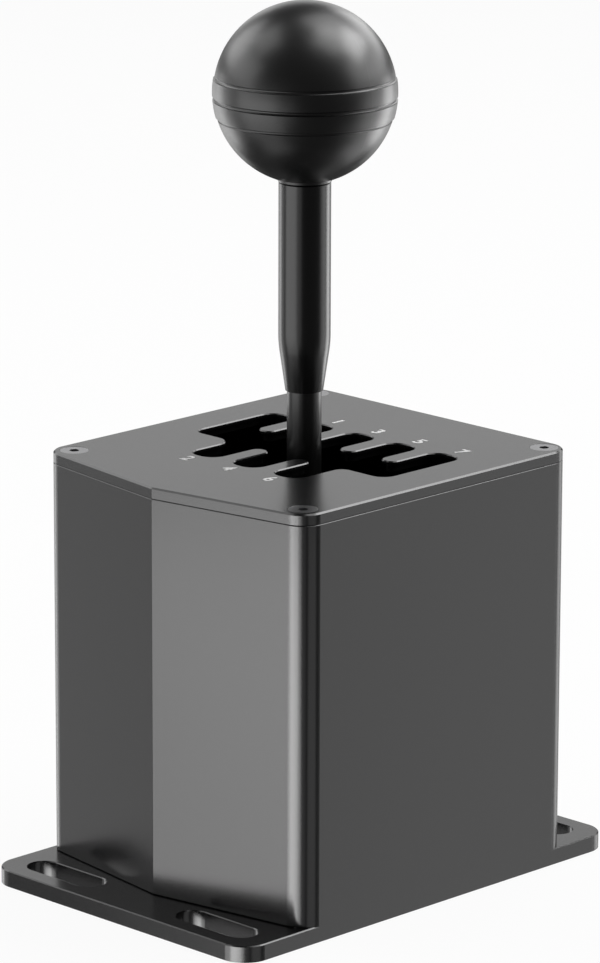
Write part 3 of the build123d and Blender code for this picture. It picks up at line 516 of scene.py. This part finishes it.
main_low, main_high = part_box("main_board")
select_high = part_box("select_sensor_board")[1]
shift_low, shift_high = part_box("shift_sensor_board")
solder_chips("main_chips_left", "root",
             (main_low[0] + main_left_inset, main_low[1], main_low[2] + main_low_inset),
             (0, -1, 0), columns=2, rows=8, seed=3)
solder_chips("main_chips_right", "root",
             (main_high[0] - main_right_inset, main_low[1], main_low[2] + main_low_inset),
             (0, -1, 0), columns=2, rows=8, seed=5)
solder_chips("main_chips_top", "root",
             (main_low[0] + main_middle_inset, main_low[1], main_high[2] - main_top_inset),
             (0, -1, 0), columns=4, rows=3, seed=11)
solder_chips("select_chips", "root",
             (select_high[0] - select_side_inset, select_high[1],
              select_high[2] - select_top_inset),
             (0, 1, 0), columns=3, rows=2, seed=17)
solder_chips("shift_chips", "yoke",
             (shift_high[0], shift_low[1] + shift_inset, shift_low[2] + shift_inset),
             (1, 0, 0), columns=2, rows=4, seed=23)


# Leads
# Thin sheathed leads from the two sensor boards to the main board, grey and slightly soft. The
# one from the yoke's board bends between its two plugs as the lever is moved sideways.
lead_colour = (0.13, 0.13, 0.14, 1)
lead_roughness = (0.48, 0.60)
lead_grains = 3000
lead_run = 0.0016
lead_cuts = 3
weld_reach = 0.000001
crease_angle = math.radians(50)
sheath = moulded("lead_sheath", lead_colour, lead_roughness, grains=lead_grains)
finish(sheath, "select_lead", "shift_lead")


def bending_copy(node, name, made):
    """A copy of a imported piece, cut into runs that are short enough to bend."""
    shape = bmesh.new()
    shape.from_mesh(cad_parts[node].data)
    bmesh.ops.remove_doubles(shape, verts=shape.verts[:], dist=weld_reach)
    for _ in range(lead_cuts):
        long_edges = [edge for edge in shape.edges if edge.calc_length() > lead_run]
        bmesh.ops.subdivide_edges(shape, edges=long_edges, cuts=1)
        bmesh.ops.triangulate(shape, faces=shape.faces[:])
    for face in shape.faces:
        face.smooth = True
    mesh = bpy.data.meshes.new(name)
    shape.to_mesh(mesh)
    shape.free()
    mesh.set_sharp_from_angle(angle=crease_angle)
    mesh.materials.append(made)
    piece = bpy.data.objects.new(name, mesh)
    bpy.context.collection.objects.link(piece)
    return piece


crossing_lead = bending_copy("shift_lead", "crossing_lead", sheath)
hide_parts("shift_lead")
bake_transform(crossing_lead)


# Sockets in the rear wall
# A drawn steel oval socket for the computer, and a square modular one whose six sprung
# contacts are gold plated.
shell_colour = (0.55, 0.55, 0.56, 1)
shell_dark = (0.42, 0.42, 0.43, 1)
shell_roughness = (0.18, 0.30)
socket_colour = (0.014, 0.014, 0.015, 1)
socket_roughness = (0.36, 0.48)
gold_colour = (0.80, 0.56, 0.20, 1)
gold_dark = (0.68, 0.46, 0.16, 1)
finish(turned("drawn_shell", shell_colour, shell_dark, shell_roughness, brass_pitch,
              brass_depth, axis=(0, 1, 0)), "usb_socket")
finish(moulded("socket_plastic", socket_colour, socket_roughness), "data_socket")
finish(turned("gold_plate", gold_colour, gold_dark, nickel_roughness, ring_pitch, race_depth),
       "data_contacts")


# Gate cover
# A 3.2 mm plate milled to the housing's outline and through with the gate, then blasted with
# slightly finer beads and anodised with the housing.
cover_colour = (0.006, 0.006, 0.0063, 1)
cover_grains = 3400
cover_roughness = (0.20, 0.24)
finish(anodised("cover_anodised", cover_colour, cover_grains, cover_roughness), "gate_cover")


# Gate numbers
# Printed in white ink at the end of each column of the gate, to be read by the driver. The
# ink stands a few hundredths of a millimetre on the anodised skin.
column_pitch = 0.0158
far_row_y = 0.0292
near_row_y = -0.0291
figure_height = 0.0043
figure_swell = 0.00016
ink_half_thickness = 0.00002
ink_colour = (0.80, 0.80, 0.80, 1)
ink_roughness = (0.42, 0.55)
ink_grains = 2600
cap_share = 0.729
ink = new_material("white_ink", ink_colour, ink_roughness[0])
ink_grain = place_group(ink, skin, grains=ink_grains)
drive(ink, "Roughness", ink_grain.outputs["Pits"], *ink_roughness)
cover_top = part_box("gate_cover")[1][2]


def print_figure(text, column, row_y):
    """One figure as a thin solid on the cover, centred on its column."""
    curve = bpy.data.curves.new("figure_curve", "FONT")
    curve.body = text
    curve.size = figure_height / cap_share
    curve.align_x = "CENTER"
    curve.align_y = "CENTER"
    curve.extrude = ink_half_thickness
    curve.offset = figure_swell
    drawn = bpy.data.objects.new("figure_drawn", curve)
    bpy.context.collection.objects.link(drawn)
    bpy.context.view_layer.update()
    mesh = bpy.data.meshes.new_from_object(drawn)
    bpy.data.objects.remove(drawn)
    mesh.transform(Matrix.Translation((column * column_pitch, row_y,
                                       cover_top + ink_half_thickness)))
    mesh.materials.clear()
    mesh.materials.append(ink)
    figure = bpy.data.objects.new(f"gate_figure_{text}", mesh)
    bpy.context.collection.objects.link(figure)
    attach(figure, "root")


for text, column in (("R", -2), ("1", -1), ("3", 0), ("5", 1), ("7", 2)):
    print_figure(text, column, far_row_y)
for text, column in (("2", -1), ("4", 0), ("6", 1)):
    print_figure(text, column, near_row_y)


# Screws
# Hardened steel under black oxide: the countersunk screws, the boards' small screws, the grub
# screw and the rod's lock nut. On the cover's four screws the oxide has worn to bare metal.
oxide_black = (0.030, 0.030, 0.032, 1)
oxide_worn = (0.060, 0.060, 0.062, 1)
screw_roughness = (0.28, 0.42)
thread_pitch = 0.0007
worn_head = (0.42, 0.42, 0.43, 1)
worn_rim = (0.26, 0.26, 0.27, 1)
head_roughness = (0.24, 0.34)
oxide_metal_share = 0.6
finish(turned("worn_oxide_steel", worn_head, worn_rim, head_roughness, thread_pitch,
              ring_depth), "cover_screws")
finish(turned("black_oxide_steel", oxide_worn, oxide_black, screw_roughness, thread_pitch,
              ring_depth, metallic=oxide_metal_share),
       "base_screws", "bracket_screws", "hub_grub_screw", "rod_lock_nut",
       "detent_leaf_screws", "select_board_screws", "shift_board_screws", "main_board_screws")


# Lever rod and tube
# The rod is turned steel with a black coat, threaded into the hub. The thicker aluminium tube
# slides over it, tapers towards the gate and is anodised black after turning.
rod_colour = (0.0042, 0.0042, 0.0044, 1)
rod_dark = (0.0036, 0.0036, 0.0037, 1)
rod_roughness = (0.27, 0.31)
rod_index = 1.80
tube_roughness = (0.23, 0.26)
rod_pitch = 0.00025
rod_depth = 0.00000012
finish(turned("rod_coat", rod_colour, rod_dark, rod_roughness, rod_pitch, rod_depth,
              metallic=0.0, ior=rod_index), "lever_rod")
finish(turned("tube_anodised", rod_colour, rod_dark, tube_roughness, rod_pitch, rod_depth,
              metallic=0.0, ior=rod_index), "lever_tube")


# Shift knob
# A ball turned from black resin, about 50 mm across. The band round it stands a little proud,
# with a fine groove along each of its edges and one along its middle, all under a satin lacquer.
knob_colour = (0.0040, 0.0040, 0.0041, 1)
knob_dark = (0.0034, 0.0034, 0.0035, 1)
knob_roughness = (0.31, 0.38)
knob_pitch = 0.0004
knob_depth = 0.000004
resin_index = 1.66
lacquer_weight = 0.9
lacquer_roughness = 0.34
knob_resin = turned("knob_resin", knob_colour, knob_dark, knob_roughness, knob_pitch, knob_depth,
                    metallic=0.0, ior=resin_index)
knob_shader = knob_resin.node_tree.nodes["Principled BSDF"]
knob_shader.inputs["Coat Weight"].default_value = lacquer_weight
knob_shader.inputs["Coat Roughness"].default_value = lacquer_roughness
finish(knob_resin, "shift_knob")


# Floor and lights
# A pale table in a white room, both bright to the camera alone, with soft boxes all round but
# little light from the camera's side, which keeps the black pieces black. The low strips and the
# box overhead are flagged off the lever, and it has a few boxes of its own.
floor_colour = (0.80, 0.80, 0.80, 1)
floor_half = 4.0
floor_roughness = 0.6
floor_white = 0.94
room_level = 0.05
lamp_aim = Vector((0, 0, 0.12))
strip_elevation = -22.6
strip_height = 0.24
strip_distance = 0.65
lever_distance = 1.1
side_distance = 1.2
overhead_distance = 1.4
rear_distance = 1.5
floor_mesh = bpy.data.meshes.new("floor")
floor_mesh.from_pydata(
    [(-floor_half, -floor_half, 0), (floor_half, -floor_half, 0),
     (floor_half, floor_half, 0), (-floor_half, floor_half, 0)], [], [(0, 1, 2, 3)])
floor = bpy.data.objects.new("floor", floor_mesh)
bpy.context.collection.objects.link(floor)
floor.visible_glossy = False
floor.visible_diffuse = False
floor.visible_shadow = False
floor_material = new_material("table", floor_colour, floor_roughness)
floor_mesh.materials.append(floor_material)
tree = floor_material.node_tree
seen = add(tree, "ShaderNodeLightPath")
white = add(tree, "ShaderNodeEmission")
white_share = add(tree, "ShaderNodeMath", [(0, seen.outputs["Is Camera Ray"])],
                  operation="MULTIPLY")
white_share.inputs[1].default_value = floor_white
mixed = add(tree, "ShaderNodeMixShader", [
    (0, white_share.outputs["Value"]),
    (1, tree.nodes["Principled BSDF"].outputs["BSDF"]),
    (2, white.outputs["Emission"])])
tree.links.new(mixed.outputs["Shader"], tree.nodes["Material Output"].inputs["Surface"])

world = bpy.data.worlds.new("studio")
bpy.context.scene.world = world
world.use_nodes = True
tree = world.node_tree
tree.nodes.clear()
rays = add(tree, "ShaderNodeLightPath")
level = add(tree, "ShaderNodeMapRange", [("Value", rays.outputs["Is Camera Ray"])])
level.inputs["To Min"].default_value = room_level
level.inputs["To Max"].default_value = 1.0
background = add(tree, "ShaderNodeBackground", [("Strength", level.outputs["Result"])])
background.inputs["Color"].default_value = (1, 1, 1, 1)
add(tree, "ShaderNodeOutputWorld", [("Surface", background.outputs["Background"])])

off_the_lever = bpy.data.collections.new("off_the_lever")
on_the_lever = bpy.data.collections.new("on_the_lever")
for name in ("lever_rod", "lever_tube", "shift_knob"):
    off_the_lever.objects.link(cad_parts[name])
    on_the_lever.objects.link(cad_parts[name])
for entry in off_the_lever.collection_objects:
    entry.light_linking.link_state = "EXCLUDE"


def soft_box(name, bearing, elevation, distance, width, height, brightness, kept=None):
    """A soft box at a bearing in degrees to the right of the camera's. Its brightness is that of
    its face, whatever its size. One that is kept on or off the lever has flags for it."""
    data = bpy.data.lights.new(name, "AREA")
    data.shape = "RECTANGLE"
    data.size = width
    data.size_y = height
    data.energy = brightness * width * height * math.pi
    box = bpy.data.objects.new(name, data)
    towards_box = level_direction(camera_azimuth + math.radians(bearing),
                                  math.radians(elevation))
    box.matrix_world = facing(lamp_aim + towards_box * distance, towards_box)
    box.visible_camera = False
    if kept:
        box.light_linking.receiver_collection = kept
    bpy.context.collection.objects.link(box)


# Low and near, for the front corner and the front facets
soft_box("strip", bearing=-35, elevation=strip_elevation, distance=strip_distance,
         width=0.42, height=strip_height, brightness=4.96, kept=off_the_lever)
soft_box("strip_left", bearing=-65, elevation=strip_elevation, distance=strip_distance,
         width=0.21, height=strip_height, brightness=1.50, kept=off_the_lever)
soft_box("strip_right", bearing=-10, elevation=strip_elevation, distance=strip_distance,
         width=0.105, height=strip_height, brightness=2.50, kept=off_the_lever)
soft_box("strip_end", bearing=5, elevation=strip_elevation, distance=strip_distance,
         width=0.20, height=strip_height, brightness=0.22, kept=off_the_lever)
soft_box("strip_far_right", bearing=42, elevation=strip_elevation, distance=strip_distance,
         width=0.40, height=strip_height, brightness=0.42, kept=off_the_lever)
# Left and behind on the left
soft_box("left", bearing=-63, elevation=-6, distance=side_distance,
         width=1.26, height=0.55, brightness=1.30)
soft_box("left_front", bearing=-24, elevation=-8, distance=side_distance,
         width=0.40, height=0.50, brightness=0.40)
soft_box("left_low", bearing=-58, elevation=-29, distance=side_distance,
         width=1.15, height=0.42, brightness=0.85)
soft_box("left_under", bearing=-60, elevation=-57, distance=side_distance,
         width=0.60, height=0.50, brightness=0.55, kept=on_the_lever)
soft_box("left_raised", bearing=-92, elevation=25, distance=side_distance,
         width=0.95, height=0.60, brightness=1.15)
soft_box("left_high", bearing=-100, elevation=56, distance=side_distance,
         width=0.65, height=0.50, brightness=1.20)
soft_box("left_far", bearing=-110, elevation=-14, distance=side_distance,
         width=0.42, height=0.85, brightness=0.56)
soft_box("left_rear", bearing=-130, elevation=-14, distance=side_distance,
         width=0.35, height=0.85, brightness=1.95)
soft_box("left_rear_raised", bearing=-130, elevation=30, distance=side_distance,
         width=0.60, height=0.64, brightness=1.85)
soft_box("back_left", bearing=-150, elevation=-14, distance=rear_distance,
         width=0.75, height=0.75, brightness=0.90)
soft_box("back_left_raised", bearing=-158, elevation=16, distance=rear_distance,
         width=0.60, height=0.60, brightness=0.37)
# Right and behind on the right
soft_box("right_front_raised", bearing=78, elevation=27, distance=side_distance,
         width=0.50, height=0.60, brightness=1.30)
soft_box("right", bearing=94, elevation=-14, distance=side_distance,
         width=0.54, height=0.85, brightness=0.80)
soft_box("right_low", bearing=110, elevation=-48, distance=side_distance,
         width=0.70, height=0.50, brightness=0.91)
soft_box("right_raised", bearing=112, elevation=20, distance=side_distance,
         width=0.95, height=0.35, brightness=1.55)
soft_box("right_tall", bearing=108, elevation=45, distance=side_distance,
         width=0.75, height=0.42, brightness=5.00)
soft_box("right_high", bearing=84, elevation=67, distance=side_distance,
         width=0.70, height=0.60, brightness=1.80)
soft_box("right_rear", bearing=124, elevation=-14, distance=side_distance,
         width=0.50, height=0.85, brightness=1.70)
soft_box("right_rim", bearing=124, elevation=-14, distance=lever_distance,
         width=0.46, height=0.78, brightness=1.50, kept=on_the_lever)
soft_box("right_sheen", bearing=84, elevation=-18, distance=side_distance,
         width=0.56, height=0.85, brightness=0.30, kept=on_the_lever)
soft_box("right_taper", bearing=68, elevation=-32, distance=lever_distance,
         width=0.50, height=0.34, brightness=0.18, kept=on_the_lever)
soft_box("right_rear_high", bearing=135, elevation=65, distance=side_distance,
         width=0.70, height=0.70, brightness=1.40)
soft_box("back_right", bearing=150, elevation=-14, distance=rear_distance,
         width=0.75, height=0.75, brightness=0.60)
soft_box("back_right_raised", bearing=150, elevation=25, distance=rear_distance,
         width=0.75, height=0.60, brightness=2.16)
# Straight behind
soft_box("back", bearing=180, elevation=15, distance=rear_distance,
         width=0.80, height=0.60, brightness=0.78)
soft_box("overhead_rear", bearing=180, elevation=60, distance=overhead_distance,
         width=0.90, height=0.60, brightness=1.60, kept=off_the_lever)

bpy.context.scene.view_settings.view_transform = "Standard"
